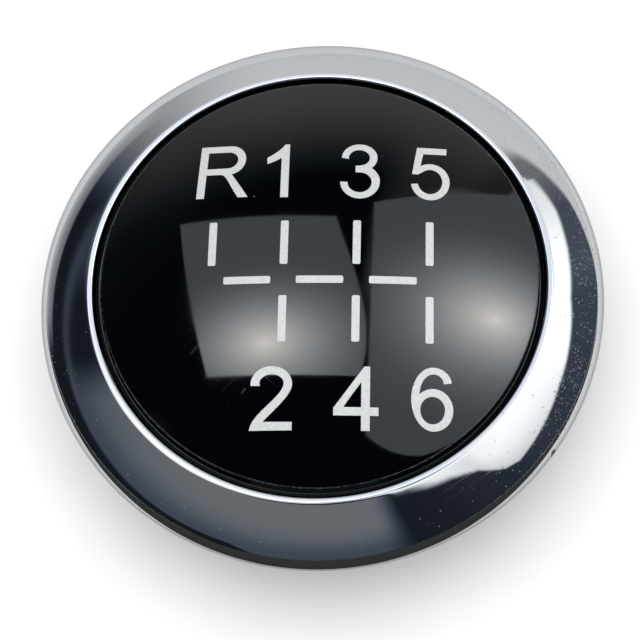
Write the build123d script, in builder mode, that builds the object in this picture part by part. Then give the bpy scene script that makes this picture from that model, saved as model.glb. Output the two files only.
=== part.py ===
from build123d import *
from math import cos, hypot, radians, sin, sqrt
import os

# Gear shift knob cap: a chrome ring frames a domed gloss insert, and a clip carrier traps it from below.
# The cap stands on the tips of its clip legs: +Z is up, the origin lies under the centre of the ring,
# and the shift pattern on the insert is read from the -Y side. Sizes are in millimetres.

# Chrome ring
ring_diameter = 46.0  # at its skirt
band_width = 4.7  # from the opening out to the skirt
lip_rise = 3.65  # lip above the top of the skirt
lip_land = 0.25  # flat top of the lip
lip_bevel = 0.2  # bevel from that land down into the opening
lip_depth = 1.75  # from the lip down to the ledge
rim_rounding = 2.0  # radius between the skirt and the flank
rim_sweep = 52.0  # degrees of that rounding
skirt_height = 1.4
skirt_bevel = 0.3
ring_wall = 1.5  # skin of the ring over its cored groove
inner_wall = 1.1  # upright wall round the carrier
ledge_width = 0.95  # ledge under the lip that stops the insert
groove_rib_count = 12
groove_rib_angle = 3.0  # degrees that one rib takes of the groove

# Domed insert
insert_gap = 0.12  # radial clearance inside the ring
insert_sink = 0.15  # its corner below the lip, before the bevel
insert_bevel = 0.45
crown_rise = 2.05  # crown of the dome above that corner
insert_wall = 1.8
flange_thickness = 0.9
cavity_margin = 2.0  # solid border round the hollow underside
peg_diameter = 2.2
peg_spread = 18.0  # between the two locating pegs
peg_offset = 4.0  # pegs sit this far towards +Y, so the insert goes in one way round
peg_recess = 0.2  # peg ends above the plate's underside
peg_gap = 0.1

# Clip carrier
plate_thickness = 1.4
plate_gap = 0.12  # radial clearance inside the ring
plate_lead = 0.4  # chamfer that leads the plate into the ring
lug_count = 4
lug_width = 5.0
lug_height = 0.9
lug_reach = 0.75  # lugs stand this far out into the ring's windows
lug_gap = 0.06  # play of a lug in its window
collar_diameter = 29.0
collar_wall = 1.6
collar_length = 4.6
collar_lead = 0.5
key_width = 2.4
key_depth = 1.2
leg_count = 4
leg_length = 9.6  # from the plate's underside to the tips
leg_width = 4.0
leg_root = 1.6  # thickness at the plate
leg_tip = 1.1  # thickness at the tip
leg_setback = 0.9  # outer face inside the collar's outer face
leg_slot = 0.6  # gap in the collar on each side of a leg
leg_flare = 0.5  # how far a leg spreads where it meets the plate
barb_reach = 0.7
barb_height = 2.9  # catch above the leg tips
barb_land = 0.5
barb_return = 0.35  # rise of the sloping catch
seat_rib_count = 8
seat_rib_width = 1.0
seat_rib_height = 0.9
seat_rib_gap = 1.2  # clear of the collar and of the plate's edge
cross_rib_width = 1.0
cross_rib_height = 1.6
hub_diameter = 6.0
gate_diameter = 2.6
gate_depth = 0.7

# Heights, stacked up from the leg tips
plate_bottom = leg_length
plate_top = plate_bottom + plate_thickness
ledge_height = plate_top + flange_thickness
lip_height = ledge_height + lip_depth
skirt_top = lip_height - lip_rise
seat_height = skirt_top - skirt_height
corner_height = lip_height - insert_sink
crown_height = corner_height + crown_rise

# Radii
ring_radius = ring_diameter / 2
opening_radius = ring_radius - band_width
shoulder_radius = opening_radius + lip_bevel + lip_land
pocket_radius = opening_radius + ledge_width
wall_radius = pocket_radius + inner_wall
skin_radius = ring_radius - ring_wall
insert_radius = opening_radius - insert_gap
flange_radius = pocket_radius - insert_gap
cavity_radius = insert_radius - cavity_margin
dome_radius = (insert_radius ** 2 + crown_rise ** 2) / (2 * crown_rise)
plate_radius = pocket_radius - plate_gap
collar_radius = collar_diameter / 2
collar_inside = collar_radius - collar_wall
leg_outside = collar_radius - leg_setback

lug_angles = [360 / lug_count * i for i in range(lug_count)]
leg_angles = [360 / leg_count * (i + 0.5) for i in range(leg_count)]


def upright(angle):
    """Upright plane through the axis, turned by angle: its x runs outwards and its y runs up."""
    return Plane.XZ.rotated((0, 0, angle))


def groove_roof(radius):
    """Height of the groove's roof at a radius, one wall below the straight line of the flank."""
    flank_foot = ring_radius - rim_rounding * (1 - cos(radians(rim_sweep)))
    flank_fall = lip_rise - rim_rounding * sin(radians(rim_sweep))
    slope = flank_fall / (flank_foot - shoulder_radius)
    return lip_height - slope * (radius - shoulder_radius) - ring_wall * hypot(1, slope)


with BuildPart() as chrome_bezel:
    with BuildSketch(Plane.XZ):
        with BuildLine():
            rim = CenterArc((ring_radius - rim_rounding, skirt_top), rim_rounding, 0, rim_sweep)
            flank = TangentArc(rim @ 1, (shoulder_radius, lip_height), tangent=rim % 1)
            Polyline(
                flank @ 1,
                (opening_radius + lip_bevel, lip_height),
                (opening_radius, lip_height - lip_bevel),
                (opening_radius, ledge_height),
                (pocket_radius, ledge_height),
                (pocket_radius, seat_height),
                (ring_radius - skirt_bevel, seat_height),
                (ring_radius, seat_height + skirt_bevel),
                rim @ 0,
            )
        make_face()
    revolve(axis=Axis.Z)
    # Cored groove: a pocket between each two ribs, open at the ring's seat
    rib_pitch = 360 / groove_rib_count
    for i in range(groove_rib_count):
        with BuildSketch(upright(rib_pitch * (i - 0.5) + groove_rib_angle / 2)):
            Polygon(
                (wall_radius, seat_height),
                (skin_radius, seat_height),
                (skin_radius, groove_roof(skin_radius)),
                (wall_radius, groove_roof(wall_radius)),
                align=None,
            )
        revolve(axis=Axis.Z, revolution_arc=rib_pitch - groove_rib_angle, mode=Mode.SUBTRACT)
    # Windows in the inner wall that the carrier's lugs snap into
    window_depth = wall_radius - opening_radius + ring_wall / 4
    for angle in lug_angles:
        with BuildSketch(upright(angle)):
            with Locations((opening_radius, plate_bottom - lug_gap)):
                Rectangle(window_depth, lug_height + 2 * lug_gap, align=Align.MIN)
        extrude(amount=lug_width / 2 + lug_gap, both=True, mode=Mode.SUBTRACT)

# The insert's hollow underside, one wall below the dome
with BuildPart() as cavity:
    with BuildSketch(Plane.XY.offset(plate_top)):
        Circle(cavity_radius)
    extrude(amount=crown_height - plate_top)
    with Locations((0, 0, crown_height - dome_radius)):
        Sphere(dome_radius - insert_wall, rotation=(90, 0, 0), mode=Mode.INTERSECT)

with BuildPart() as pattern_insert:
    with BuildSketch(Plane.XZ):
        Polygon(
            (0, plate_top),
            (flange_radius, plate_top),
            (flange_radius, ledge_height),
            (insert_radius, ledge_height),
            (insert_radius, corner_height - insert_bevel),
            (insert_radius - crown_rise, corner_height - insert_bevel + crown_rise),
            (insert_radius - crown_rise, crown_height + insert_bevel),
            (0, crown_height + insert_bevel),
            align=None,
        )
    revolve(axis=Axis.Z)
    with Locations((0, 0, crown_height - dome_radius)):
        Sphere(dome_radius, rotation=(90, 0, 0), mode=Mode.INTERSECT)
    add(cavity.part, mode=Mode.SUBTRACT)
    # Two locating pegs hang from the hollow underside into the carrier's plate
    peg_bottom = plate_bottom + peg_recess
    peg_drop = dome_radius - sqrt(dome_radius ** 2 - peg_spread ** 2 / 4 - peg_offset ** 2)
    peg_top = crown_height - peg_drop - insert_wall / 2
    with BuildSketch(Plane.XY.offset(peg_bottom)):
        with Locations((-peg_spread / 2, peg_offset), (peg_spread / 2, peg_offset)):
            Circle(peg_diameter / 2)
    extrude(amount=peg_top - peg_bottom)

with BuildPart() as clip_carrier:
    with BuildSketch(Plane.XY.offset(plate_bottom)):
        Circle(plate_radius)
        with Locations((-peg_spread / 2, peg_offset), (peg_spread / 2, peg_offset)):
            Circle(peg_diameter / 2 + peg_gap, mode=Mode.SUBTRACT)
    extrude(amount=plate_thickness)
    chamfer(clip_carrier.faces().sort_by(Axis.Z)[-1].outer_wire().edges(), plate_lead)
    # Wedge lugs on the plate's edge, with a flat catch below and a slope above
    for angle in lug_angles:
        with BuildSketch(upright(angle)):
            Polygon(
                (plate_radius - lug_reach, plate_bottom),
                (plate_radius + lug_reach, plate_bottom),
                (plate_radius + lug_reach, plate_bottom + lug_height / 3),
                (plate_radius, plate_bottom + lug_height),
                (plate_radius - lug_reach, plate_bottom + lug_height),
                align=None,
            )
        extrude(amount=lug_width / 2, both=True)
    # Locating collar, slotted for the legs, with a key on its inner face
    with BuildSketch(Plane.XY.offset(plate_bottom)):
        Circle(collar_radius)
        Circle(collar_inside, mode=Mode.SUBTRACT)
        with Locations((0, -collar_inside - collar_wall / 2)):
            Rectangle(key_width, key_depth + collar_wall / 2, align=(Align.CENTER, Align.MIN))
        with PolarLocations(collar_radius, leg_count, start_angle=leg_angles[0]):
            Rectangle(4 * collar_wall, leg_width + 2 * leg_slot, mode=Mode.SUBTRACT)
    extrude(amount=-collar_length)
    collar_rim = clip_carrier.faces().sort_by(Axis.Z)[0:leg_count]
    chamfer(collar_rim.edges().filter_by(GeomType.CIRCLE).group_by(SortBy.RADIUS)[-1], collar_lead)
    # Seat ribs round the collar, a cross of ribs and a gate hub inside it
    rib_length = plate_radius - collar_radius - 2 * seat_rib_gap
    with BuildSketch(Plane.XY.offset(plate_bottom)):
        with PolarLocations(collar_radius + seat_rib_gap, seat_rib_count, start_angle=180 / seat_rib_count):
            Rectangle(rib_length, seat_rib_width, align=(Align.MIN, Align.CENTER))
    extrude(amount=-seat_rib_height)
    with BuildSketch(Plane.XY.offset(plate_bottom)):
        with PolarLocations(0, 2, angular_range=180):
            Rectangle(2 * collar_inside + collar_wall, cross_rib_width)
        Circle(hub_diameter / 2)
    extrude(amount=-cross_rib_height)
    with BuildSketch(Plane.XY.offset(plate_bottom - cross_rib_height)):
        Circle(gate_diameter / 2)
    extrude(amount=gate_depth, mode=Mode.SUBTRACT)
    # Clip legs: tapered beams that spread at the root, with a barb that leads in from the tip
    for angle in leg_angles:
        with BuildSketch(upright(angle)):
            Polygon(
                (leg_outside - leg_root - leg_flare, plate_bottom),
                (leg_outside + leg_flare, plate_bottom),
                (leg_outside, plate_bottom - leg_flare),
                (leg_outside, barb_height + barb_return),
                (leg_outside + barb_reach, barb_height),
                (leg_outside + barb_reach, barb_height - barb_land),
                (leg_outside, 0),
                (leg_outside - leg_tip, 0),
                (leg_outside - leg_root, plate_bottom - leg_flare),
                align=None,
            )
        extrude(amount=leg_width / 2, both=True)

os.makedirs("parts", exist_ok=True)
chrome_bezel.part.label = "chrome_bezel"
pattern_insert.part.label = "pattern_insert"
clip_carrier.part.label = "clip_carrier"
export_step(chrome_bezel.part, "parts/chrome_bezel.step")
export_step(pattern_insert.part, "parts/pattern_insert.step")
export_step(clip_carrier.part, "parts/clip_carrier.step")
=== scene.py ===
import bmesh
import bpy
import math
import numpy as np
from mathutils import Matrix, Vector


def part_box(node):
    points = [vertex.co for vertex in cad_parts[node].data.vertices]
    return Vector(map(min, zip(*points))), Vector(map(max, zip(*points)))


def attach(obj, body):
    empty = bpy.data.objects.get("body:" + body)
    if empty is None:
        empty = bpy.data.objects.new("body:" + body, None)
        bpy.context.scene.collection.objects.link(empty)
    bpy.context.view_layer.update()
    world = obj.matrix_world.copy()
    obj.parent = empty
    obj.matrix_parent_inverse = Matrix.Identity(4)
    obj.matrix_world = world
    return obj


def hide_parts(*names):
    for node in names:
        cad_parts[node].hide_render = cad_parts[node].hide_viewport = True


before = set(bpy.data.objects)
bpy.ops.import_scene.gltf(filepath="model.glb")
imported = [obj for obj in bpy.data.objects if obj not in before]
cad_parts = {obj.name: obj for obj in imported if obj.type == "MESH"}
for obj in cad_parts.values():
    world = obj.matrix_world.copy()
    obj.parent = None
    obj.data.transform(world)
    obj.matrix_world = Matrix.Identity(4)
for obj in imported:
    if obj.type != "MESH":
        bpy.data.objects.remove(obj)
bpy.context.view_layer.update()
mm = 0.001  # the shapes below are worked out in millimetres
inkThick = 0.02  # the print's thickness; the dome is lower than the solid's by as much

ringLow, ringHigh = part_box("chrome_bezel")
insertLow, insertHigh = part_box("pattern_insert")
print("frame loaded, ring", round(ringHigh.x * 2 / mm, 2), "mm across")


# straight run of points from p to q
def line(p, q, count=14):
    t = np.linspace(0, 1, count)[:, None]
    return (1 - t) * np.array(p, float) + t * np.array(q, float)


# part of an ellipse: centre + (cosine * first radius, sine * second radius)
def arc(centre, radii, start, end, count=30):
    a = np.radians(np.linspace(start, end, count))
    return np.array(centre, float) + np.stack([np.cos(a) * radii[0], np.sin(a) * radii[1]], -1)


# cubic curve pulled by two handles
def curve(p0, p1, p2, p3, count=30):
    t = np.linspace(0, 1, count)[:, None]
    p0, p1, p2, p3 = (np.array(p, float) for p in (p0, p1, p2, p3))
    return (1 - t) ** 3 * p0 + 3 * t * (1 - t) ** 2 * p1 + 3 * t ** 2 * (1 - t) * p2 + t ** 3 * p3


# direction in a section along a face that falls outwards by a slope in degrees
def downhill(slope):
    return np.array([math.cos(math.radians(slope)), -math.sin(math.radians(slope))])


# direction in a section square to such a face
def squareTo(slope):
    return np.array([math.sin(math.radians(slope)), math.cos(math.radians(slope))])


# joins runs of points, leaving out the first point of each run that repeats the one before
def joined(*runs):
    return np.concatenate([runs[0]] + [run[1:] for run in runs[1:]])


# quads between neighbouring points of a rows by cols grid; a closed way goes on to its first line
def gridFaces(rows, cols, closeRows, closeCols):
    i = np.arange(rows if closeRows else rows - 1)[:, None]
    j = np.arange(cols if closeCols else cols - 1)[None, :]
    up, on = (i + 1) % rows, (j + 1) % cols
    return np.stack([i * cols + j, i * cols + on, up * cols + on, up * cols + j], -1).reshape(-1, 4)


# a body turns its faces outwards: its signed volume is six times the sum of a . (b x c)
def facedOut(verts, faces):
    volume = 0
    for face in faces:
        for k in range(1, face.shape[1] - 1):
            a, b, c = verts[face[:, 0]], verts[face[:, k]], verts[face[:, k + 1]]
            volume += np.einsum("ij,ij->", a, np.cross(b, c))
    return verts, [face[:, ::-1] for face in faces] if volume < 0 else faces


# section of (radius, height) points carried round the axis; points on the axis become poles
def turned(section, angles):
    poles = section[:, 0] < 1e-6
    offAxis = section[~poles]
    a = np.radians(angles)[:, None]
    r, z = offAxis[None, :, 0], offAxis[None, :, 1]
    verts = np.stack([r * np.cos(a), r * np.sin(a), z + 0 * a], -1)
    rows, cols = verts.shape[:2]
    quads = gridFaces(rows, cols, True, not poles.any())
    verts = verts.reshape(-1, 3)
    if not poles.any():
        return verts, [quads]
    ends = section[poles]
    verts = np.concatenate([verts, np.stack([0 * ends[:, 0], 0 * ends[:, 0], ends[:, 1]], -1)])
    i = np.arange(rows)
    first = np.stack([(i + 1) % rows * cols, i * cols, 0 * i + rows * cols], -1)
    last = np.stack([i * cols + cols - 1, (i + 1) % rows * cols + cols - 1, 0 * i + rows * cols + 1], -1)
    return verts, [quads, first, last]


def newObject(name, data):
    item = bpy.data.objects.new(name, data)
    bpy.context.scene.collection.objects.link(item)
    return item


# several closed bodies put into one mesh, smooth but for edges sharper than the angle
def addPiece(name, bodies, sharp=32):
    verts, faces, start = [], [], 0
    for body in bodies:
        points, sides = facedOut(*body)
        verts.append(points)
        faces += [row for side in sides for row in (side + start).tolist()]
        start += len(points)
    mesh = bpy.data.meshes.new(name)
    mesh.from_pydata((np.concatenate(verts) * mm).tolist(), [], faces)
    mesh.validate()
    mesh.shade_smooth()
    mesh.set_sharp_from_angle(angle=math.radians(sharp))
    piece = newObject(name, mesh)
    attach(piece, "root")
    print(name, len(mesh.polygons), "faces")
    return piece


# chrome ring
ringForm = dict(
    radius=ringHigh.x / mm, seat=ringLow.z / mm, lipTop=ringHigh.z / mm - 0.158,  # a little below the solid's lip
    band=4.79, lipRise=3.492, lipDepth=1.592, lipEdge=0.16,
    lipLand=0.26, landLean=(5, 3), shoulder=0.1,  # the lip's narrow top leans in, towards the insert
    browSlope=14, brow=1.5, lipSlope=24, rimRounding=2.0, rimSweep=52,
    footTop=9.72, footSlope=27, footRounding=0.4, footCorner=0.15,  # the skirt leans back below its widest circle
    pocket=19.25, grooveIn=20.35, grooveOut=21.5, roofIn=10.95, roofOut=10.27,
    ribs=12, ribAngle=3.0, ribShare=0.06,  # what a rib leaves of the groove's depth
    windows=4, windowLow=9.54, windowHigh=10.56, windowHalf=7.23, windowFloor=19.6,
    wallStep=0.02, turnStep=0.01,  # walls of windows and ribs rise within this height and these degrees
)


# the section is a closed loop: opening, rounded lip, flank, rim, skirt, seat, cored groove, pocket, ledge;
# round the axis the groove's depth drops at each rib, and its inner wall steps in at the four windows;
# the last number of a run is its count of points
def ringBody(f):
    opening, top, seat = f["radius"] - f["band"], f["lipTop"], f["seat"]
    ledge, skirtTop = top - f["lipDepth"], top - f["lipRise"]
    edge, rimR, footR, corner = f["lipEdge"], f["rimRounding"], f["footRounding"], f["footCorner"]
    slopes = [-f["landLean"][0], -f["landLean"][1], f["browSlope"], f["lipSlope"]]
    landTurn = math.sin(math.radians(slopes[1])) - math.sin(math.radians(slopes[0]))
    radii = [f["lipLand"] / landTurn, f["shoulder"], f["brow"]]
    lip = arc((opening + edge, top - edge), (edge, edge), 180, 90 - slopes[0], 12)
    for r, start, end in zip(radii, slopes, slopes[1:]):
        lip = joined(lip, arc(lip[-1] - r * squareTo(start), (r, r), 90 - start, 90 - end, 12))
    rim = arc((f["radius"] - rimR, skirtTop), (rimR, rimR), f["rimSweep"], 0, 24)
    reach = np.linalg.norm(rim[0] - lip[-1]) / 3
    flank = curve(
        lip[-1], lip[-1] + reach * downhill(f["lipSlope"]),
        rim[0] - reach * downhill(90 - f["rimSweep"]), rim[0], 34,
    )
    foot = arc((f["radius"] - footR, f["footTop"]), (footR, footR), 0, -f["footSlope"], 6)
    below = arc((0, seat + corner), (corner, corner), -f["footSlope"], -90, 6)
    lean = (foot[-1, 1] - below[0, 1]) * math.tan(math.radians(f["footSlope"]))
    below[:, 0] += foot[-1, 0] - lean - below[0, 0]
    outside = joined(
        line((opening, ledge), lip[0], 4), lip, flank, rim,
        line(rim[-1], foot[0], 3), foot, line(foot[-1], below[0], 3), below,
        line(below[-1], (f["grooveOut"], seat), 3),
    )
    groove = np.array([
        (f["grooveOut"], f["roofOut"]), (f["grooveIn"], f["roofIn"]),
        (f["grooveIn"], f["windowHigh"] + f["wallStep"]), (f["grooveIn"], f["windowHigh"]),
        (f["grooveIn"], f["windowLow"]), (f["grooveIn"], f["windowLow"] - f["wallStep"]),
    ])
    inside = joined(
        line((f["grooveIn"], seat), (f["pocket"], seat), 2),
        line((f["pocket"], seat), (f["pocket"], ledge), 3),
    )
    section = np.concatenate([outside, groove, inside])
    pitch, gap, half = 360 / f["ribs"], 180 / f["ribs"] - f["ribAngle"] / 2, f["windowHalf"]
    step = f["turnStep"]
    onePitch = np.concatenate([
        np.linspace(-gap + step, -half - step, 9), np.linspace(-half, half, 19),
        np.linspace(half + step, gap - step, 9), np.linspace(gap + step, pitch - gap - step, 4),
    ])
    angles = (onePitch[None, :] + pitch * np.arange(f["ribs"])[:, None]).ravel()
    r = np.repeat(section[None, :, 0], len(angles), 0)
    z = np.repeat(section[None, :, 1], len(angles), 0)
    inGroove = np.zeros(len(section), bool)
    inGroove[len(outside):len(outside) + len(groove)] = True
    fromMiddle = np.abs((angles + pitch / 2) % pitch - pitch / 2)  # degrees from half way between two ribs
    share = np.where(fromMiddle < gap, 1.0, f["ribShare"])[:, None]
    z = np.where(inGroove[None, :], seat + (z - seat) * share, z)
    margin, apart = f["wallStep"] / 2, 360 / f["windows"]
    inWindow = inGroove & (section[:, 1] > f["windowLow"] - margin) & (section[:, 1] < f["windowHigh"] + margin)
    atWindow = np.abs((angles + apart / 2) % apart - apart / 2) <= half + step / 2
    r = np.where(inWindow[None, :] & atWindow[:, None], f["windowFloor"], r)
    a = np.radians(angles)[:, None]
    verts = np.stack([r * np.cos(a), r * np.sin(a), z], -1)
    return verts.reshape(-1, 3), [gridFaces(len(angles), len(section), True, True)]


ring = addPiece("chrome_ring", [ringBody(ringForm)])
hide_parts("chrome_bezel")

# domed insert
insertForm = dict(
    crown=insertHigh.z / mm - inkThick, radius=18.18, cornerRise=2.05,
    bevel=0.64, upperEdge=0.09, lowerEdge=0.25, pull=0.3,  # an edge's handles lie at this share of its reach
    ledge=11.9, flange=19.13, foot=11.0, hollow=16.18, wall=1.8,
    pegRadius=1.1, pegX=9.0, pegY=4.0, pegFoot=insertLow.z / mm, pegEasing=0.2,
)
domeRadius = (insertForm["radius"] ** 2 + insertForm["cornerRise"] ** 2) / (2 * insertForm["cornerRise"])
domeCentre = insertForm["crown"] - domeRadius


# height of the dome: a sphere's cap, centre + square root of radius squared less distance squared
def domeHeight(x, y, radius=domeRadius):
    return domeCentre + np.sqrt(radius ** 2 - x ** 2 - y ** 2)


# the section runs from the crown over the rounded corner and the flange to the middle of the hollow underside
def insertBody(f):
    start = f["radius"] - f["bevel"]
    fall = math.degrees(math.asin(start / domeRadius))
    bevelTop = np.array([start, domeHeight(start, 0)])
    bevelFoot = np.array([f["radius"], bevelTop[1] - f["bevel"]])
    down = np.array([1, -1]) / math.sqrt(2)
    inward = -downhill(fall)
    upper, lower, pull = f["upperEdge"], f["lowerEdge"], f["pull"]
    rounding = joined(
        curve(
            bevelTop + upper * inward, bevelTop + pull * upper * inward,
            bevelTop + pull * upper * down, bevelTop + upper * down, 12,
        ),
        line(bevelTop + upper * down, bevelFoot - lower * down, 5),
        curve(
            bevelFoot - lower * down, bevelFoot - pull * lower * down,
            bevelFoot - (0, pull * lower), bevelFoot - (0, lower), 12,
        ),
    )
    across = np.linspace(0, rounding[0, 0], 48)
    under = np.linspace(f["hollow"], 0, 24)
    innerRadius = domeRadius - f["wall"]
    corners = [
        rounding[-1], (f["radius"], f["ledge"]), (f["flange"], f["ledge"]), (f["flange"], f["foot"]),
        (f["hollow"], f["foot"]), (f["hollow"], domeHeight(f["hollow"], 0, innerRadius)),
    ]
    section = joined(
        np.stack([across, domeHeight(across, 0)], -1), rounding,
        *[line(p, q, 3) for p, q in zip(corners, corners[1:])],
        np.stack([under, domeHeight(under, 0, innerRadius)], -1),
    )
    return turned(section, np.arange(0, 360, 1.0))


# a peg is a short turned rod, its top inside the insert's wall
def pegBody(f, side):
    x, y = side * f["pegX"], f["pegY"]
    top = domeHeight(x, y) - f["wall"] / 2
    r, foot, easing = f["pegRadius"], f["pegFoot"], f["pegEasing"]
    section = np.array([(0, foot), (r - easing, foot), (r, foot + easing), (r, top), (0, top)])
    verts, faces = turned(section, np.arange(0, 360, 15.0))
    return verts + np.array([x, y, 0]), faces


insertBodies = [insertBody(insertForm), pegBody(insertForm, -1), pegBody(insertForm, 1)]
insert = addPiece("domed_insert", insertBodies)
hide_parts("pattern_insert")

# printed shift pattern: each stroke is a strip between two edges, given side by side from its start to its end
printForm = dict(
    ink=inkThick, sink=0.01, across=5, inset=0.036, corner=0.13, sharp=60,
    columns=5.778, middleX=0.23, middleY=-0.965, row=3.249, upright=3.83, level=3.745, dash=0.7,
    places=dict(
        reverse=(-10.056, 6.42), one=(-4.347, 6.305), three=(1.652, 6.165), five=(7.324, 6.187),
        two=(-5.056, -13.183), four=(1.452, -13.184), six=(7.451, -13.08),
    ),
    lean=dict(reverse=0.047),
)
glyphs = dict(
    reverse=[
        [(line((0, 0.03), (0, 4.944)), line((0.72, 0.03), (0.72, 4.944)))],
        [(line((0.684, 4.98), (2.5, 4.98)), line((0.684, 4.31), (2.35, 4.31))),
         (arc((2.5, 3.575), (1.36, 1.405), 90, -90), arc((2.35, 3.57), (0.79, 0.74), 90, -90)),
         (line((2.5, 2.17), (0.684, 2.17)), line((2.35, 2.83), (0.684, 2.83)))],
        [(curve((1.8, 2.206), (2.3, 2.206), (2.4, 1.62), (3.42, 0.03)), line((2.8, 2.226), (4.31, 0.03), 30))],
    ],
    one=[
        [(line((1.178, 0.03), (1.178, 3.744)), line((1.889, 0.03), (1.889, 3.744))),
         (line((1.178, 3.744), (1.42, 5.06)), line((1.889, 3.744), (1.889, 5.06)))],
        [(curve((1.456, 5.06), (1.19, 4.6), (0.6, 4.15), (0.03, 3.83)),
          curve((1.214, 3.744), (0.85, 3.5), (0.5, 3.3), (0.06, 3.17)))],
    ],
    three=[
        [(arc((1.57, 3.87), (1.48, 1.33), 180, 0), arc((1.54, 3.85), (0.82, 0.728), 188, 0)),
         (arc((1.57, 3.87), (1.48, 1.33), 0, -47, 43),
          joined(arc((1.54, 3.85), (0.82, 0.728), 0, -90), line((1.54, 3.122), (1.222, 3.111))))],
        [(arc((1.63, 1.6), (1.635, 1.6), 54, 40, 14), line((1.222, 3.111), (1.222, 2.478))),
         (arc((1.63, 1.6), (1.635, 1.6), 40, 25, 14), line((1.222, 2.478), (1.6, 2.478))),
         (arc((1.63, 1.6), (1.635, 1.6), 25, 0), arc((1.6, 1.56), (0.94, 0.918), 90, 0)),
         (arc((1.63, 1.6), (1.635, 1.6), 0, -180), arc((1.6, 1.56), (0.94, 0.918), 0, -180))],
    ],
    five=[
        [(line((0.522, 5.0), (2.944, 4.97)), line((1.078, 4.333), (2.92, 4.31)))],
        [(line((0.522, 5.0), (0.3, 3.6)), line((1.078, 4.333), (0.856, 3.2))),
         (line((0.3, 3.6), (0.111, 2.422)), line((0.856, 3.2), (0.689, 2.4)))],
        [(arc((1.62, 1.72), (1.6, 1.73), 121, 108, 14), line((0.653, 2.4), (1.01, 2.61))),
         (arc((1.62, 1.72), (1.6, 1.73), 108, 0), arc((1.6, 1.735), (0.955, 1.11), 128, 0)),
         (arc((1.62, 1.72), (1.6, 1.73), 0, -172), arc((1.6, 1.735), (0.955, 1.11), 0, -169))],
    ],
    two=[
        [(arc((1.7, 3.65), (1.66, 1.46), 185, 0), arc((1.72, 3.72), (0.91, 0.67), 198, 0)),
         (curve((3.36, 3.65), (3.36, 2.85), (2.2, 1.85), (1.111, 0.722)),
          curve((2.63, 3.72), (2.63, 2.6), (0.1, 1.35), (0, 0)))],
        [(line((1.111, 0.722), (3.35, 0.722)), line((0, 0), (3.35, 0)))],
    ],
    four=[
        [(line((2.144, 0.03), (2.144, 3.811)), line((2.889, 0.03), (2.889, 3.811))),
         (line((2.144, 3.811), (2.356, 5.07)), line((2.889, 3.811), (2.889, 5.07)))],
        [(line((2.392, 5.07), (0.03, 1.83)), line((2.18, 3.811), (0.833, 1.853)))],
        [(line((0.03, 1.867), (0.833, 1.889)), line((0.03, 1.17), (0.833, 1.167))),
         (line((0.833, 1.889), (2.18, 1.889)), line((0.833, 1.167), (2.18, 1.167)))],
        [(line((2.853, 1.889), (3.52, 1.889)), line((2.853, 1.167), (3.52, 1.167)))],
    ],
    six=[
        [(arc((1.7, 3.72), (1.5, 1.345), 5, 90), arc((1.76, 3.72), (0.75, 0.735), 2, 90)),
         (arc((1.74, 2.53), (1.74, 2.535), 90, 180), arc((1.76, 2.8), (1.06, 1.655), 90, 180)),
         (arc((1.74, 2.53), (1.74, 2.535), 180, 215, 14), line((0.7, 2.8), (0.755, 1.66))),
         (arc((1.74, 2.53), (1.74, 2.535), 215, 270), arc((1.672, 1.66), (0.917, 1.04), 180, 270))],
        [(arc((1.74, 1.685), (1.57, 1.685), -90, 0), arc((1.672, 1.66), (0.917, 1.04), -90, 0)),
         (arc((1.74, 1.685), (1.57, 1.685), 0, 133.5), arc((1.672, 1.66), (0.95, 1.04), 0, 180))],
    ],
)


# strip of ink: edge a + share across * (edge b - edge a), drawn in a little and laid on the dome
# with a top, an underside and two ends
def inkBody(pairs, place, lean, f):
    a = joined(*[pair[0] for pair in pairs])
    b = joined(*[pair[1] for pair in pairs])
    step = f["inset"] * (b - a) / np.linalg.norm(b - a, axis=1, keepdims=True)
    a, b = a + step, b - step
    t = np.linspace(0, 1, f["across"])[None, :, None]
    flat = (1 - t) * a[:, None, :] + t * b[:, None, :]
    x = flat[..., 0] + lean * flat[..., 1] + place[0]
    y = flat[..., 1] + place[1]
    z = domeHeight(x, y)
    top = np.stack([x, y, z + f["ink"]], -1)
    under = np.stack([x, y, z - f["sink"]], -1)[:, ::-1]
    loop = np.concatenate([top, under], 1)
    rows, cols, n = loop.shape[0], loop.shape[1], f["across"]
    k = np.arange(n - 1)
    cap = np.stack([k, cols - 1 - k, cols - 2 - k, k + 1], -1)
    return loop.reshape(-1, 3), [gridFaces(rows, cols, False, True), cap, cap[:, ::-1] + (rows - 1) * cols]


# a dash is one straight strip with rounded corners, upright or level
def dashBody(x, y, wide, high, f):
    half, end, r = min(wide, high) / 2, max(wide, high) / 2, f["corner"]
    side = joined(
        arc((r - half, r - end), (r, r), 270, 180, 8), line((-half, r - end), (-half, end - r)),
        arc((r - half, end - r), (r, r), 180, 90, 8),
    )
    edges = [side, side * (-1, 1)]
    return inkBody([[edge[:, ::-1] if wide > high else edge for edge in edges]], (x, y), 0, f)


f = printForm
inkBodies = [
    inkBody(strip, f["places"][name], f["lean"].get(name, 0), f)
    for name, strips in glyphs.items() for strip in strips
]
columnX = f["middleX"] + f["columns"] * np.array([-1.5, -0.5, 0.5, 1.5])
inkBodies += [dashBody(x, f["middleY"] + f["row"], f["dash"], f["upright"], f) for x in columnX]
inkBodies += [dashBody(x, f["middleY"] - f["row"], f["dash"], f["upright"], f) for x in columnX[1:]]
inkBodies += [dashBody(x, f["middleY"], f["level"], f["dash"], f) for x in (columnX[:-1] + columnX[1:]) / 2]
pattern = addPiece("shift_pattern", inkBodies, f["sharp"])

# clip carrier: the moulding as drawn, with its edges eased
carrierForm = dict(easing=0.14, steps=3, sharp=28, weld=0.002, flat=0.5)


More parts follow.
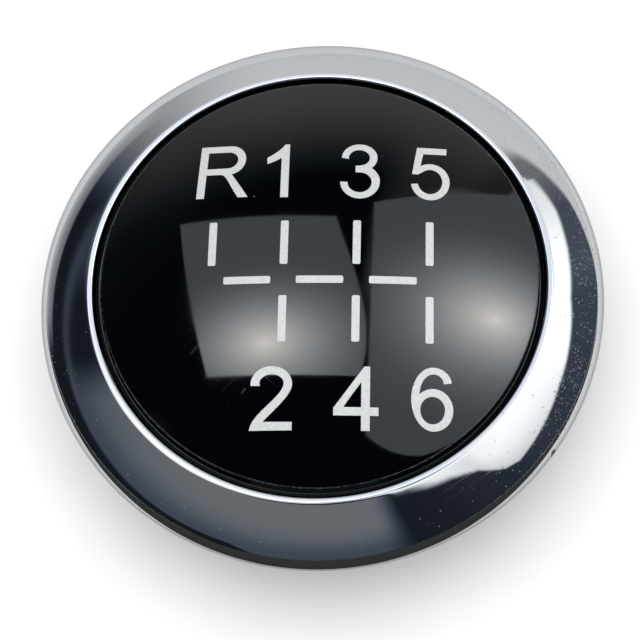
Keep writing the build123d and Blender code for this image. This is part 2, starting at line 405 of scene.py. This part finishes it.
# a merged copy of the moulding, flat faces made whole, then a rounded strip along each edge sharper than the angle
def easedCopy(name, source, f):
    shape = bmesh.new()
    shape.from_mesh(source.data)
    bmesh.ops.remove_doubles(shape, verts=shape.verts, dist=f["weld"] * mm)
    bmesh.ops.dissolve_limit(shape, angle_limit=math.radians(f["flat"]), verts=shape.verts, edges=shape.edges)
    mesh = bpy.data.meshes.new(name)
    shape.to_mesh(mesh)
    shape.free()
    mesh.materials.clear()
    mesh.shade_smooth()
    mesh.set_sharp_from_angle(angle=math.radians(f["sharp"]))
    piece = newObject(name, mesh)
    easing = piece.modifiers.new("easing", "BEVEL")
    easing.width, easing.segments = f["easing"] * mm, f["steps"]
    easing.limit_method, easing.angle_limit = "ANGLE", math.radians(f["sharp"])
    easing.harden_normals = True
    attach(piece, "root")
    print(name, len(mesh.polygons), "faces before easing")
    return piece


carrier = easedCopy("moulded_carrier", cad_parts["clip_carrier"], carrierForm)
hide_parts("clip_carrier")


# a node with its settings, and its inputs as links or as constants
def addNode(tree, kind, inputs=None, **settings):
    item = tree.nodes.new(kind)
    for key, value in settings.items():
        setattr(item, key, value)
    for key, value in (inputs or {}).items():
        if hasattr(value, "is_output"):
            tree.links.new(value, item.inputs[key])
        else:
            item.inputs[key].default_value = value
    return item


def mathNode(tree, operation, a, b=0.0):
    return addNode(tree, "ShaderNodeMath", {0: a, 1: b}, operation=operation).outputs[0]


# a value taken from one range to another and held at its ends
def mapped(tree, value, low, high, first=0.0, last=1.0):
    return addNode(tree, "ShaderNodeMapRange", {0: value, 1: low, 2: high, 3: first, 4: last}).outputs[0]


# soft step of a coordinate or distance between two values in millimetres
def ramp(tree, value, low, high, first=0.0, last=1.0):
    return mapped(tree, value, low * mm, high * mm, first, last)


# a noise whose grains are about this many millimetres apart
def noiseNode(tree, coords, size, detail=0.0):
    return addNode(
        tree, "ShaderNodeTexNoise", {"Vector": coords, "Scale": 1 / (size * mm), "Detail": detail},
    ).outputs["Fac"]


# cloudy grain between two values; most of a noise lies within the limits
def cloud(tree, coords, size, low, high, detail=4.0, limits=(0.3, 0.7)):
    return mapped(tree, noiseNode(tree, coords, size, detail), *limits, low, high)


# dust: a share of the cells keep a grain, of its own size and strength, at their centre
def dust(tree, coords, cell, grain, share):
    cells = addNode(tree, "ShaderNodeTexVoronoi", {"Vector": coords, "Scale": 1 / (cell * mm)})
    chance = addNode(tree, "ShaderNodeSeparateColor", {0: cells.outputs["Color"]})
    reach = mathNode(tree, "MULTIPLY", chance.outputs[1], grain / cell)
    near = mathNode(tree, "LESS_THAN", cells.outputs["Distance"], reach)
    kept = mathNode(tree, "GREATER_THAN", chance.outputs[0], mathNode(tree, "SUBTRACT", 1.0, share))
    return mathNode(tree, "MULTIPLY", mathNode(tree, "MULTIPLY", near, kept), chance.outputs[2])


# hairlines: level lines of a noise that hardly changes along one direction, kept in a few patches
def hairlines(tree, coords, turn, spread, width, share, stretch=90, patches=5):
    drawn = addNode(tree, "ShaderNodeMapping", {
        "Vector": coords, "Rotation": (0, 0, math.radians(turn)), "Scale": (stretch, 1, stretch),
    }, vector_type="TEXTURE")
    level = mathNode(tree, "SUBTRACT", noiseNode(tree, drawn.outputs[0], spread), 0.5)
    thin = mathNode(tree, "LESS_THAN", mathNode(tree, "ABSOLUTE", level), width)
    patch = mathNode(tree, "GREATER_THAN", noiseNode(tree, coords, spread * patches), 1 - share)
    return mathNode(tree, "MULTIPLY", thin, patch)


def newMaterial(name):
    material = bpy.data.materials.new(name)
    material.use_nodes = True
    tree = material.node_tree
    coords = addNode(tree, "ShaderNodeTexCoord").outputs["Object"]
    return material, tree, tree.nodes["Principled BSDF"], coords


def blended(tree, share, a, b):
    mix = addNode(tree, "ShaderNodeMix", {0: share}, data_type="RGBA")
    for socket, value in ((mix.inputs[6], a), (mix.inputs[7], b)):
        if hasattr(value, "is_output"):
            tree.links.new(value, socket)
        else:
            socket.default_value = (*value, 1)
    return mix.outputs[2]


def bumped(tree, shader, height, distance, strength):
    bump = addNode(tree, "ShaderNodeBump", {"Height": height, "Distance": distance * mm, "Strength": strength})
    tree.links.new(bump.outputs[0], shader.inputs["Normal"])


# distance from the axis
def fromAxis(tree, coords):
    flat = addNode(tree, "ShaderNodeVectorMath", {0: coords, 1: (1, 1, 0)}, operation="MULTIPLY")
    return addNode(tree, "ShaderNodeVectorMath", {0: flat.outputs[0]}, operation="LENGTH").outputs["Value"]


# bright chrome: a mirror with slight waviness, dust that is thicker on the flank at its right, a few hairlines
# and one chip at the rim
chromeLook = dict(
    colour=(0.53, 0.54, 0.555), overlayColour=(0.13, 0.155, 0.2), smooth=0.015, hazy=0.05,
    edgeTint=(0.5, 0.51, 0.52, 1),  # keeps the edge-on mirror from going white
    dustCover=0.7, scratchRough=0.1, markRough=0.5,
    chipAt=(18.58, -13.5, 10.05), chipTurn=54, chip=(0.34, 0.5, 0.6),  # half length along the rim and half widths
    chipColour=(0.006, 0.006, 0.006),
)
look = chromeLook
chrome, tree, shader, coords = newMaterial("bright chrome")
axes = addNode(tree, "ShaderNodeSeparateXYZ", {0: coords})
onRight = ramp(tree, axes.outputs[0], low=8, high=20, first=0.05, last=0.6)
onFlank = ramp(tree, fromAxis(tree, coords), low=20.4, high=21.2, first=0.05, last=1)
offFront = ramp(tree, axes.outputs[1], low=-17, high=-8, first=0.25, last=1)
handled = mathNode(tree, "MULTIPLY", onRight, onFlank)
patchy = mathNode(tree, "MULTIPLY", cloud(tree, coords, size=3.0, low=0.15, high=1.4), offFront)
share = mathNode(tree, "MULTIPLY", handled, patchy)
coarse = dust(tree, coords, cell=0.34, grain=0.09, share=mathNode(tree, "MULTIPLY", share, 0.5))
fine = dust(tree, coords, cell=0.13, grain=0.07, share=share)
grains = mathNode(tree, "MAXIMUM", coarse, fine)
scratch = hairlines(tree, coords, turn=35, spread=0.9, width=0.005, share=0.45)
away = addNode(tree, "ShaderNodeMapping", {
    "Vector": coords, "Location": [v * mm for v in look["chipAt"]],
    "Rotation": (0, 0, math.radians(look["chipTurn"])), "Scale": [v * mm for v in look["chip"]],
}, vector_type="TEXTURE")
gap = addNode(tree, "ShaderNodeVectorMath", {0: away.outputs[0]}, operation="LENGTH").outputs["Value"]
ragged = cloud(tree, coords, size=0.15, low=-0.3, high=0.3)
chip = mathNode(tree, "LESS_THAN", mathNode(tree, "ADD", gap, ragged), 1.0)
haze = cloud(tree, coords, 6.0, look["smooth"], look["hazy"])
rough = mathNode(tree, "ADD", haze, mathNode(tree, "MULTIPLY", scratch, look["scratchRough"]))
marked = mathNode(tree, "MAXIMUM", mathNode(tree, "MULTIPLY", grains, look["dustCover"]), chip)
rough = mathNode(tree, "ADD", rough, mathNode(tree, "MULTIPLY", marked, look["markRough"]))
tree.links.new(rough, shader.inputs["Roughness"])
tree.links.new(mathNode(tree, "SUBTRACT", 1.0, marked), shader.inputs["Metallic"])
dusted = blended(tree, grains, look["colour"], look["overlayColour"])
tree.links.new(blended(tree, chip, dusted, look["chipColour"]), shader.inputs["Base Color"])
shader.inputs["Specular Tint"].default_value = look["edgeTint"]
waves = cloud(tree, coords, size=3.5, low=0, high=1, detail=2.0)
bumped(tree, shader, waves, distance=0.004, strength=0.3)
ring.data.materials.append(chrome)

# gloss black plastic: deep polish with sparse dust, a few hairlines and a thin grey line round its corner, a
# painted edge highlight broken up by dust
glossLook = dict(
    colour=(0.0003, 0.0005, 0.0012), overlayColour=(0.14, 0.145, 0.15), smooth=0.02, hazy=0.05, ior=1.49,
    lineAt=17.52, lineHalf=0.07, scratchRough=0.09, dustAndSheenRough=0.5,
)
look = glossLook
gloss, tree, shader, coords = newMaterial("gloss black")
# painted edge highlight mixed with dust: a patchy grey ring at the top edge of the bevel, whatever the light
offLine = mathNode(tree, "ABSOLUTE", mathNode(tree, "SUBTRACT", fromAxis(tree, coords), look["lineAt"] * mm))
nearLine = ramp(tree, offLine, 0, look["lineHalf"], first=1, last=0)
dustAndSheenLine = mathNode(tree, "MULTIPLY", nearLine, cloud(tree, coords, size=0.3, low=-0.15, high=0.35, detail=3.0))
grains = mathNode(tree, "MAXIMUM", dust(tree, coords, cell=1.3, grain=0.06, share=0.3), dustAndSheenLine)
oneWay = hairlines(tree, coords, turn=50, spread=1.1, width=0.0025, share=0.4)
otherWay = hairlines(tree, coords, turn=-38, spread=1.5, width=0.002, share=0.38)
scratch = mathNode(tree, "MAXIMUM", oneWay, otherWay)
haze = cloud(tree, coords, 5.0, look["smooth"], look["hazy"])
rough = mathNode(tree, "ADD", haze, mathNode(tree, "MULTIPLY", scratch, look["scratchRough"]))
rough = mathNode(tree, "ADD", rough, mathNode(tree, "MULTIPLY", grains, look["dustAndSheenRough"]))
tree.links.new(rough, shader.inputs["Roughness"])
tree.links.new(blended(tree, grains, look["colour"], look["overlayColour"]), shader.inputs["Base Color"])
shader.inputs["IOR"].default_value = look["ior"]
waves = cloud(tree, coords, size=4.0, low=0, high=1, detail=2.0)
bumped(tree, shader, waves, distance=0.002, strength=0.15)
insert.data.materials.append(gloss)

# white print: flat ink with a fine mottled grain and pinholes
inkLook = dict(colour=(0.545, 0.554, 0.558), thin=(0.435, 0.445, 0.449), pinhole=(0.2, 0.2, 0.2))
look = inkLook
ink, tree, shader, coords = newMaterial("white ink")
mottle = cloud(tree, coords, size=0.22, low=0, high=1, detail=5.0)
holes = dust(tree, coords, cell=0.35, grain=0.05, share=0.12)
mottled = blended(tree, mottle, look["thin"], look["colour"])
tree.links.new(blended(tree, holes, mottled, look["pinhole"]), shader.inputs["Base Color"])
tree.links.new(cloud(tree, coords, size=0.5, low=0.3, high=0.5), shader.inputs["Roughness"])
bumped(tree, shader, mottle, distance=0.01, strength=0.4)
pattern.data.materials.append(ink)

# black moulded plastic of the carrier: satin, finely grained, with faint flow marks
mouldLook = dict(colour=(0.02, 0.02, 0.021), pale=(0.04, 0.04, 0.042))
look = mouldLook
mould, tree, shader, coords = newMaterial("moulded black")
flow = cloud(tree, coords, size=2.5, low=0, high=1)
tree.links.new(blended(tree, flow, look["colour"], look["pale"]), shader.inputs["Base Color"])
tree.links.new(cloud(tree, coords, size=1.2, low=0.35, high=0.55), shader.inputs["Roughness"])
bumped(tree, shader, cloud(tree, coords, size=0.12, low=0, high=1), distance=0.01, strength=0.5)
carrier.data.materials.append(mould)
print("materials made")

# camera where the photograph was taken from: turned and tilted about the ring, then rolled
cameraForm = dict(
    azimuth=9.219, elevation=67.96, roll=-8.542, distance=150.0, aimRight=-0.058, aimUp=-2.063, level=10.0,
    lens=103.13, sensor=36, clip=0.005,
)
f = cameraForm
az, el, roll = (math.radians(f[key]) for key in ("azimuth", "elevation", "roll"))
back = Vector((math.sin(az) * math.cos(el), -math.cos(az) * math.cos(el), math.sin(el)))
right = Vector((math.cos(az), math.sin(az), 0))
up = back.cross(right)
camRight = math.cos(roll) * right + math.sin(roll) * up
camUp = math.cos(roll) * up - math.sin(roll) * right
aim = Vector((0, 0, f["level"])) + f["aimRight"] * camRight + f["aimUp"] * camUp
eye = (aim + f["distance"] * back) * mm
camera = newObject("camera", bpy.data.cameras.new("camera"))
camera.data.lens = f["lens"]
camera.data.sensor_width = f["sensor"]
camera.data.clip_start = f["clip"]
turn = Matrix((camRight, camUp, back)).transposed().to_4x4()
camera.matrix_world = Matrix.Translation(eye) @ turn
bpy.context.scene.camera = camera

# pale floor
floorForm = dict(half=2, grain=9.0, low=(0.9, 0.9, 0.9), high=(0.925, 0.925, 0.925), rough=0.8)
f = floorForm
half = f["half"]
floorMesh = bpy.data.meshes.new("floor")
floorMesh.from_pydata([(-half, -half, 0), (half, -half, 0), (half, half, 0), (-half, half, 0)], [], [(0, 1, 2, 3)])
floor = newObject("floor", floorMesh)
paper, tree, shader, coords = newMaterial("pale floor")
shade = blended(tree, cloud(tree, coords, f["grain"], low=0, high=1), f["low"], f["high"])
tree.links.new(shade, shader.inputs["Base Color"])
shader.inputs["Roughness"].default_value = f["rough"]
shader.inputs["Specular IOR Level"].default_value = 0
floorMesh.materials.append(paper)

# light tent: a half globe whose glow depends on the direction, in degrees round and up
tentForm = dict(
    distance=0.8, turnStep=0.5, rows=200, top=89.98, base=0.018,
    colour=(0.935, 0.96, 0.967), dimColour=(0.74, 0.96, 1.36), dimSpan=(0.06, 0.3),  # what is dim is cooler
    back=1.0, backTop=(36, 53), backEl=(0, 6, 10, 16, 22, 50), backRight=(112, 119, 132, 139, 147, 153),
    backSoft=3, backLeft=(190, 231),
    sillTurn=(206, 216, 252, 264), sillEl=(0, 3, 6, 10, 12), sill=(0.78, 0.62, 0.4, 0.28, 0),
    haze=0.14, hazeTurn=(200, 215, 235, 250), hazeEl=(24, 32, 42, 48),
    sideEnds=(25, 29, 166, 174), sideSoft=1.2, sideTop=(66, 74), fadeHeight=16,
    sideAz=(26, 32, 40, 48, 52, 56, 58, 60, 64, 72, 88,
            100, 112, 118, 124, 132, 140, 144, 148, 156, 160, 170),
    sideLow=(57.5, 57, 55, 53, 51, 48, 43, 37, 32, 32.5, 34,
             33, 32, 29.5, 27, 24, 24, 35, 49, 50.5, 52, 60),
    side=(1.1, 1.25, 1.7, 1.75, 1.75, 1.75, 1.75, 1.75, 1.75, 1.9, 2.1,
          2.25, 2.3, 2.2, 2.0, 1.6, 1.4, 1.3, 1.25, 1.25, 1.25, 1.25),
    sideFade=(0, 0, 0, 0.1, 0.2, 0.3, 0.35, 0.38, 0.38, 0.36, 0.25,
              0.1, 0, 0, 0, 0, 0, 0, 0, 0, 0, 0),
    dim=(0.004, 0.005, 0.008, 0.016, 0.019, 0.021, 0.022, 0.024, 0.035, 0.044, 0.055,
         0.067, 0.08, 0.12, 0.11, 0.1, 0.24, 0.26, 0.26, 0.26, 0.26, 0.26),
    card=0.1, cardAz=(-98, -84, 16, 27), cardLow=(-80, -28, -20), cardFoot=(22, 22, 2), cardSoft=2,
    cardUpper=0.15, cardRise=(26, 52), cardTop=(62, 67),
    front=1.5, frontEnds=(-116, -108, 30, 40), frontSoft=2,
    frontAz=(-112, -102, -90, -80, -70, -60, -50, -40, -30, -10, 0, 10, 20, 40),
    frontLow=(49, 49, 49, 51, 54, 58, 64, 68, 70, 72, 73, 73, 71, 64),
    frontTop=(50, 56, 61.5, 65.5, 69, 72, 74, 75, 75, 75, 75, 75, 75, 75),
    streak=0.06, streakEnds=(84, 96, 140, 160), streaks=((24, 2.5, 1), (47, 6, 0.7)),  # height, width and part
)


# soft step from 0 at low to 1 at high
def rising(x, low, high):
    t = np.clip((x - low) / (high - low), 0, 1)
    return t * t * (3 - 2 * t)

# soft step about an edge
def stepAt(x, edge, soft):
    return rising(x, edge - soft, edge + soft)


# soft window: rises over the first two values and falls over the last two
def between(x, f):
    return rising(x, f[0], f[1]) * (1 - rising(x, f[2], f[3]))


# glow by azimuth (0 in front, 90 at the right) and height in degrees: back wall, low sill and haze at the left,
# side window, dim card, front window, faint streaks
def tentGlow(az, el, f):
    turn = (az + 360) % 360  # 180 straight behind
    behind = stepAt(turn, np.interp(el, f["backEl"], f["backRight"]), f["backSoft"])
    behind = behind * (1 - rising(turn, *f["backLeft"])) * (1 - rising(el, *f["backTop"]))
    glow = f["base"] + f["back"] * behind
    glow += between(turn, f["sillTurn"]) * (1 - behind) * np.interp(el, f["sillEl"], f["sill"])
    glow += f["haze"] * between(turn, f["hazeTurn"]) * between(el, f["hazeEl"])
    low, bright, fade, dim = (np.interp(az, f["sideAz"], f[key]) for key in ("sideLow", "side", "sideFade", "dim"))
    above = stepAt(el, low, f["sideSoft"])
    bright = bright * (1 - fade * (1 - np.clip((el - low) / f["fadeHeight"], 0, 1)))
    beside = bright * above * (1 - rising(el, *f["sideTop"])) + dim * (1 - above) * (1 - behind)
    glow += between(az, f["sideEnds"]) * beside
    foot = np.interp(az, f["cardLow"], f["cardFoot"])
    upright = f["card"] * stepAt(el, foot, f["cardSoft"]) + f["cardUpper"] * rising(el, *f["cardRise"])
    glow += between(az, f["cardAz"]) * upright * (1 - rising(el, *f["cardTop"]))
    low, high = (np.interp(az, f["frontAz"], f[key]) for key in ("frontLow", "frontTop"))
    ahead = f["front"] * between(az, f["frontEnds"]) * stepAt(el, low, f["frontSoft"])
    glow += ahead * (1 - stepAt(el, high, f["frontSoft"]))
    bands = sum(part * np.exp(-((el - at) / wide) ** 2) for at, wide, part in f["streaks"])
    glow += between(-az, f["streakEnds"]) * f["streak"] * bands
    return glow


# a staging surface from a grid of points
def addSheet(name, points, closeRows=False):
    mesh = bpy.data.meshes.new(name)
    mesh.from_pydata(points.reshape(-1, 3).tolist(), [], gridFaces(*points.shape[:2], closeRows, False).tolist())
    return newObject(name, mesh)


# the surface gives off light and has no other look
def glowing(tree, colour, strength):
    light = addNode(tree, "ShaderNodeEmission", {"Color": colour, "Strength": strength})
    tree.links.new(light.outputs[0], tree.nodes["Material Output"].inputs["Surface"])


def onlyMirrored(item):
    item.visible_camera = item.visible_diffuse = item.visible_shadow = False


# a point of the tent lies at the distance, in the direction of its azimuth and height
def addTent(f):
    az, el = np.meshgrid(np.arange(-180, 180, f["turnStep"]), np.linspace(0, f["top"], f["rows"]), indexing="ij")
    a, e = np.radians(az), np.radians(el)
    points = f["distance"] * np.stack([np.sin(a) * np.cos(e), -np.cos(a) * np.cos(e), np.sin(e)], -1)
    tent = addSheet("tent", points, closeRows=True)
    glow = tent.data.attributes.new("glow", "FLOAT", "POINT")
    glow.data.foreach_set("value", tentGlow(az, el, f).ravel().astype(np.float32))
    material, tree = newMaterial("tent glow")[:2]
    strength = addNode(tree, "ShaderNodeAttribute", attribute_name="glow").outputs["Fac"]
    share = mapped(tree, strength, *f["dimSpan"])
    glowing(tree, blended(tree, share, f["dimColour"], f["colour"]), strength)
    tent.data.materials.append(material)
    onlyMirrored(tent)


addTent(tentForm)

# two overhead panes between two curved edges each, as (x, y) at one height, with a warm hot spot
# that falls off to a cool glow
paneForm = dict(height=0.5, columns=9, fall=3.2, cool=(0.88, 0.95, 1.04), warm=(1.03, 0.99, 0.9))
panes = dict(
    leftPane=dict(
        edges=(curve((-0.24, 0.316), (-0.22, 0.23), (-0.2, 0.15), (-0.172, 0.06)),
               curve((-0.01, 0.3), (0.01, 0.22), (0.05, 0.13), (0.025, 0.055))),
        spot=(-0.095, 0.102, 0.5), reach=(0.225, 0.158, 0.1), base=1.33, peak=13.0,
    ),
    rightPane=dict(
        edges=(curve((0.042, 0.33), (0.17, 0.375), (0.32, 0.41), (0.46, 0.43)),
               curve((0.034, -0.02), (0.1, -0.08), (0.19, -0.03), (0.4, 0.12))),
        spot=(0.206, 0.15, 0.5), reach=(0.275, 0.2, 0.1), base=1.32, peak=13.5,
    ),
)


# a pane is one edge + share across * (other edge - one edge)
def addPane(name, own, f):
    v = np.linspace(0, 1, f["columns"])[None, :, None]
    flat = (1 - v) * own["edges"][0][:, None, :] + v * own["edges"][1][:, None, :]
    pane = addSheet(name, np.concatenate([flat, 0 * flat[..., :1] + f["height"]], -1))
    material, tree, _, coords = newMaterial(name)
    placed = addNode(tree, "ShaderNodeMapping", {
        "Vector": coords, "Location": own["spot"], "Scale": own["reach"],
    }, vector_type="TEXTURE")
    falloff = addNode(tree, "ShaderNodeTexGradient", {0: placed.outputs[0]}, gradient_type="SPHERICAL")
    soft = mathNode(tree, "POWER", falloff.outputs["Fac"], f["fall"])
    strength = mathNode(tree, "ADD", mathNode(tree, "MULTIPLY", soft, own["peak"]), own["base"])
    glowing(tree, blended(tree, soft, f["cool"], f["warm"]), strength)
    pane.data.materials.append(material)
    onlyMirrored(pane)


for name, own in panes.items():
    addPane(name, own, paneForm)

# dark card in front on the floor, its near edge hollowed for the cap, which only the polish mirrors: a painted
# shadow standing in for the shade on the floor in front of the cap
shadowCardForm = dict(
    half=0.4, rows=81, near=-0.027, hollow=3.3, highest=0.05, far=-0.7, level=0.0004, shade=0.045, rough=0.9,
)


# across x, the card runs from near + hollow * x squared to its far edge
def addShadowCard(f):
    x = np.linspace(-f["half"], f["half"], f["rows"])
    near = np.minimum(f["near"] + f["hollow"] * x ** 2, f["highest"])
    flat = np.stack([np.stack([x, near], -1), np.stack([x, 0 * x + f["far"]], -1)], 1)
    card = addSheet("shadowCard", np.concatenate([flat, 0 * flat[..., :1] + f["level"]], -1))
    material, _, shader, _ = newMaterial("dark card")
    # the card's near-black shade is painted shadow, seen only in the polish
    shader.inputs["Base Color"].default_value = (*[f["shade"]] * 3, 1)
    shader.inputs["Roughness"].default_value = f["rough"]
    shader.inputs["Specular IOR Level"].default_value = 0
    card.data.materials.append(material)
    onlyMirrored(card)


addShadowCard(shadowCardForm)

# broad overhead fill that the polish doesn't mirror
fillForm = dict(size=0.9, power=3.3, height=0.7)
fill = newObject("fill", bpy.data.lights.new("fill", "AREA"))
fill.data.shape = "DISK"
fill.data.size = fillForm["size"]
fill.data.energy = fillForm["power"]
fill.location = (0, 0, fillForm["height"])
fill.visible_glossy = False

# pale surroundings beyond the floor
world = bpy.data.worlds.new("surroundings")
bpy.context.scene.world = world
world.use_nodes = True
world.node_tree.nodes["Background"].inputs["Color"].default_value = (0.8, 0.8, 0.8, 1)
bpy.context.scene.view_settings.view_transform = "Standard"
print("camera, floor and lights set")
